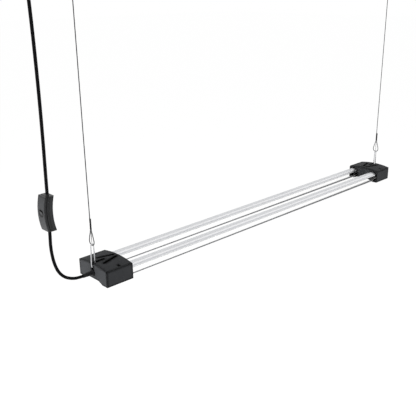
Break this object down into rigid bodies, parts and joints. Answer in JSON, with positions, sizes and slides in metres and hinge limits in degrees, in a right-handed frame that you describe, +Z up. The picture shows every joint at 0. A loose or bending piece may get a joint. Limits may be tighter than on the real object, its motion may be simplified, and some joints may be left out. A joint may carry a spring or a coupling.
{
  "type": "led grow light bar",
  "caption": "Hanging tube grow light bar with box end caps, steel rope hangers on ceiling hooks and a mains lead with an in-line rocker switch.",
  "frame": {"origin": "on the ceiling plane, midway between the screws of the two ceiling hooks", "axes": "+X along the bar, from the end with the mains lead to the other end, +Y across the bar, +Z up"},
  "size_m": [1.0963, 0.091, 0.6775],
  "materials": {
    "cap_plastic": "fine-textured moulding",
    "inner_plastic": "moulded",
    "tube_aluminium": "extruded, fine lengthwise grooves",
    "clear_cover": "clear extruded cover",
    "board_white": "white solder mask on aluminium",
    "led_phosphor": "phosphor under clear resin",
    "driver_green": "solder mask",
    "ferrite": "sintered",
    "capacitor_sleeve": "shrink sleeve",
    "wire_insulation": "extruded",
    "lead_rubber": "matte jacket",
    "hanger_steel": "bright drawn wire",
    "screw_steel": "blackened",
    "rope_steel": "twisted strands",
    "ferrule_sleeve": "heat-shrunk sleeve",
    "hook_steel": "zinc plated",
    "switch_plastic": "satin moulding",
    "plug_plastic": "moulded on",
    "contact_brass": "stamped"
  },
  "bodies": {
    "ceiling": {"left_ceiling_hook": "hook_steel", "right_ceiling_hook": "hook_steel", "plug_body": "plug_plastic", "plug_blades": "contact_brass", "plug_earth_pin": "contact_brass"},
    "upper_loops": {"left_upper_loop": "rope_steel", "right_upper_loop": "rope_steel", "left_upper_ferrule": "ferrule_sleeve", "right_upper_ferrule": "ferrule_sleeve"},
    "left_cable": {"left_rope": "rope_steel"},
    "right_cable": {"right_rope": "rope_steel"},
    "upper_lead": {"lead_upper": "lead_rubber"},
    "cable_ends": {"left_lower_loop": "rope_steel", "right_lower_loop": "rope_steel", "left_lower_ferrule": "ferrule_sleeve", "right_lower_ferrule": "ferrule_sleeve", "switch_front_shell": "switch_plastic", "switch_back_shell": "switch_plastic", "rocker_pin": "hanger_steel", "switch_contacts": "contact_brass", "switch_screws": "screw_steel"},
    "rocker": {"switch_rocker": "switch_plastic"},
    "light": {"front_heat_sink": "tube_aluminium", "front_tube_cover": "clear_cover", "front_led_board": "board_white", "front_leds": "led_phosphor", "rear_heat_sink": "tube_aluminium", "rear_tube_cover": "clear_cover", "rear_led_board": "board_white", "rear_leds": "led_phosphor", "left_cap_shell": "cap_plastic", "right_cap_shell": "cap_plastic", "left_cap_floor": "cap_plastic", "right_cap_floor": "cap_plastic", "cap_screws": "screw_steel", "left_tube_holder": "inner_plastic", "right_tube_holder": "inner_plastic", "left_end_plugs": "inner_plastic", "right_end_plugs": "inner_plastic", "driver_board": "driver_green", "driver_transformer": "ferrite", "driver_capacitors": "capacitor_sleeve", "driver_choke": "ferrite", "terminal_block": "inner_plastic", "mains_cores": "wire_insulation", "feed_wires": "wire_insulation", "lead_gland": "lead_rubber", "lead_lower": "lead_rubber", "left_hanger_link": "hanger_steel", "right_hanger_link": "hanger_steel", "left_hanger_pin": "hanger_steel", "right_hanger_pin": "hanger_steel"}
  },
  "joints": [
    {"name": "side_swing", "type": "hinge", "parent": "ceiling", "child": "upper_loops", "pos_m": [0, 0, -0.062], "axis": [1, 0, 0], "range_deg": [-20, 20]},
    {"name": "sway", "type": "hinge", "parent": "upper_loops", "child": "left_cable", "pos_m": [-0.492, 0, -0.1285], "axis": [0, 1, 0], "range_deg": [-12, 12]},
    {"name": "right_rope_sway", "type": "hinge", "parent": "upper_loops", "child": "right_cable", "pos_m": [0.492, 0, -0.1285], "axis": [0, 1, 0], "range_deg": [-12, 12]},
    {"name": "lead_sway", "type": "hinge", "parent": "upper_loops", "child": "upper_lead", "pos_m": [-0.5745, 0, -0.062], "axis": [0, 1, 0], "range_deg": [-12, 12]},
    {"name": "rope_bend", "type": "hinge", "parent": "left_cable", "child": "cable_ends", "pos_m": [-0.492, 0, -0.521], "axis": [0, 1, 0], "range_deg": [-12, 12]},
    {"name": "tilt", "type": "hinge", "parent": "cable_ends", "child": "light", "pos_m": [0, 0, -0.572], "axis": [1, 0, 0], "range_deg": [-25, 25]},
    {"name": "rocker_press", "type": "hinge", "parent": "cable_ends", "child": "rocker", "pos_m": [-0.5854, 0, -0.4852], "axis": [0, 1, 0], "range_deg": [0, 14]}
  ],
  "couplings": [
    {"joint": "right_rope_sway", "follows": "sway", "ratio": 1},
    {"joint": "lead_sway", "follows": "sway", "ratio": 1},
    {"joint": "rope_bend", "follows": "sway", "ratio": -1}
  ]
}
